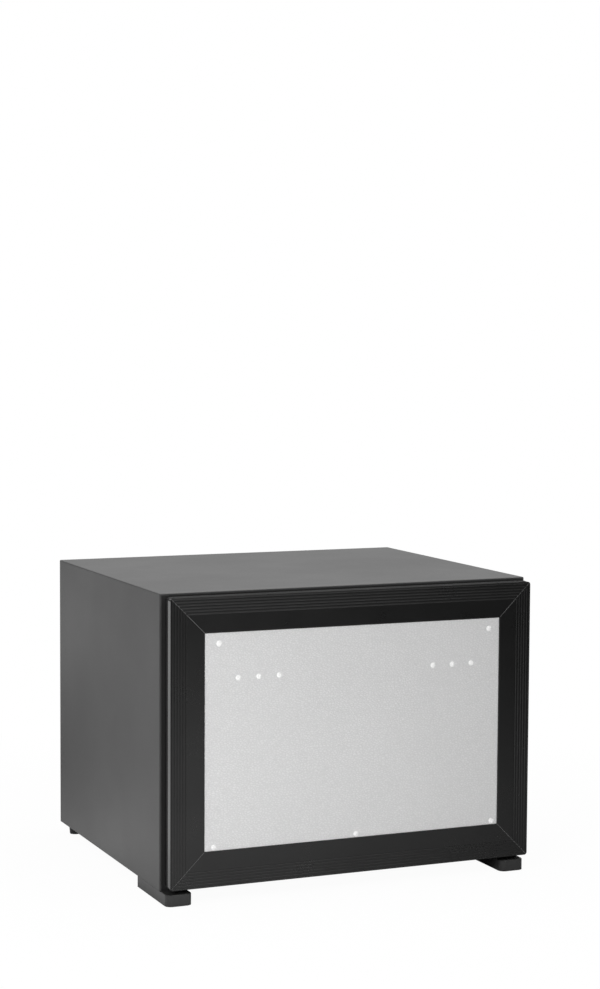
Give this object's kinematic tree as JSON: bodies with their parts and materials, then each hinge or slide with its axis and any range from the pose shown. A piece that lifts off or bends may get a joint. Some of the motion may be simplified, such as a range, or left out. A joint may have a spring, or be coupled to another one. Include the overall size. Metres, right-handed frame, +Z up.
{
  "type": "drawer minibar fridge",
  "caption": "Low drawer minibar: insulated steel cabinet on feet, with a ribbed panel-ready front and a bottle bin that slide out on ball-bearing rails.",
  "frame": {"origin": "on the ground, under the middle of the whole object's box", "axes": "+X to the right seen from the front, the drawer opens along -Y, +Z up"},
  "size_m": [0.49, 0.4214, 0.3705],
  "materials": {
    "charcoal_paint": "satin",
    "galvanised": "satin",
    "foam": "matte",
    "white_liner": "satin",
    "black_trim": "satin",
    "grey_moulding": "satin",
    "dark_plastic": "matte",
    "rocker_plastic": "gloss",
    "rubber": "matte",
    "magnet": "matte",
    "zinc_steel": "satin",
    "embossed_aluminium": "satin",
    "white_plastic": "gloss",
    "bin_plastic": "satin",
    "heat_sink": "satin",
    "collar_foam": "matte",
    "module_ceramic": "matte",
    "lens": "satin",
    "circuit_board": "satin"
  },
  "bodies": {
    "cabinet": {"cabinet_wrap": "charcoal_paint", "base_plate": "galvanised", "rear_panel": "galvanised", "foam_body": "foam", "inner_liner": "white_liner", "breaker_frame": "black_trim", "rear_well": "dark_plastic", "front_foot_left": "grey_moulding", "front_foot_right": "grey_moulding", "rear_feet": "rubber", "case_screws": "zinc_steel", "rail_backings": "galvanised", "cabinet_rail_left": "zinc_steel", "cabinet_rail_right": "zinc_steel", "rail_screws": "zinc_steel", "duct_cover": "white_liner", "thermostat_body": "dark_plastic", "temperature_sensor": "heat_sink", "lamp_lens": "lens", "lamp_board": "circuit_board", "drip_tray": "white_liner", "cold_fan_frame": "dark_plastic", "cold_sink": "heat_sink", "cold_block": "heat_sink", "block_collar": "collar_foam", "peltier_module": "module_ceramic", "hot_sink": "heat_sink", "clamp_screws": "zinc_steel", "hot_fan_frame": "dark_plastic", "psu_case": "galvanised", "control_board": "circuit_board", "mains_inlet": "dark_plastic", "rear_cover": "black_trim"},
    "drawer": {"front_frame_top": "black_trim", "front_frame_bottom": "black_trim", "front_frame_left": "black_trim", "front_frame_right": "black_trim", "corner_keys": "dark_plastic", "front_panel": "embossed_aluminium", "panel_rivets": "white_plastic", "hole_plugs": "white_plastic", "front_foam": "foam", "front_liner": "white_liner", "front_gasket": "rubber", "gasket_magnets": "magnet", "drawer_rail_left": "zinc_steel", "drawer_rail_right": "zinc_steel", "arm_left": "zinc_steel", "arm_right": "zinc_steel", "arm_fasteners": "zinc_steel", "drawer_bin": "bin_plastic"},
    "divider": {"bin_divider": "bin_plastic"},
    "middle_rail_left": {"middle_rail_left": "zinc_steel"},
    "middle_rail_right": {"middle_rail_right": "zinc_steel"},
    "outer_cages": {"outer_ball_cages": "zinc_steel"},
    "inner_cages": {"inner_ball_cages": "zinc_steel"},
    "cold_fan": {"cold_fan_rotor": "dark_plastic"},
    "hot_fan": {"hot_fan_rotor": "dark_plastic"},
    "knob": {"thermostat_knob": "white_plastic"},
    "rocker": {"power_rocker": "rocker_plastic"}
  },
  "joints": [
    {"name": "drawer_slide", "type": "slide", "parent": "cabinet", "child": "drawer", "axis": [0, -1, 0], "range_m": [0, 0.25]},
    {"name": "middle_rail_left_slide", "type": "slide", "parent": "cabinet", "child": "middle_rail_left", "axis": [0, -1, 0], "range_m": [0, 0.125]},
    {"name": "middle_rail_right_slide", "type": "slide", "parent": "cabinet", "child": "middle_rail_right", "axis": [0, -1, 0], "range_m": [0, 0.125]},
    {"name": "outer_cages_slide", "type": "slide", "parent": "cabinet", "child": "outer_cages", "axis": [0, -1, 0], "range_m": [0, 0.0625]},
    {"name": "inner_cages_slide", "type": "slide", "parent": "cabinet", "child": "inner_cages", "axis": [0, -1, 0], "range_m": [0, 0.1875]},
    {"name": "divider_slide", "type": "slide", "parent": "drawer", "child": "divider", "axis": [0, 1, 0], "range_m": [-0.09, 0.09]},
    {"name": "cold_fan_spin", "type": "hinge", "parent": "cabinet", "child": "cold_fan", "pos_m": [0, 0.0805, 0.215], "axis": [0, 1, 0], "continuous": true},
    {"name": "hot_fan_spin", "type": "hinge", "parent": "cabinet", "child": "hot_fan", "pos_m": [0, 0.184, 0.215], "axis": [0, 1, 0], "continuous": true},
    {"name": "thermostat_turn", "type": "hinge", "parent": "cabinet", "child": "knob", "pos_m": [0.105, 0.062, 0.285], "axis": [0, -1, 0], "range_deg": [0, 270]},
    {"name": "power_rock", "type": "hinge", "parent": "cabinet", "child": "rocker", "pos_m": [0.1275, 0.20125, 0.09], "axis": [1, 0, 0], "range_deg": [-16, 0]}
  ],
  "couplings": [
    {"joint": "middle_rail_left_slide", "follows": "drawer_slide", "ratio": 0.5},
    {"joint": "middle_rail_right_slide", "follows": "drawer_slide", "ratio": 0.5},
    {"joint": "outer_cages_slide", "follows": "drawer_slide", "ratio": 0.25},
    {"joint": "inner_cages_slide", "follows": "drawer_slide", "ratio": 0.75}
  ]
}
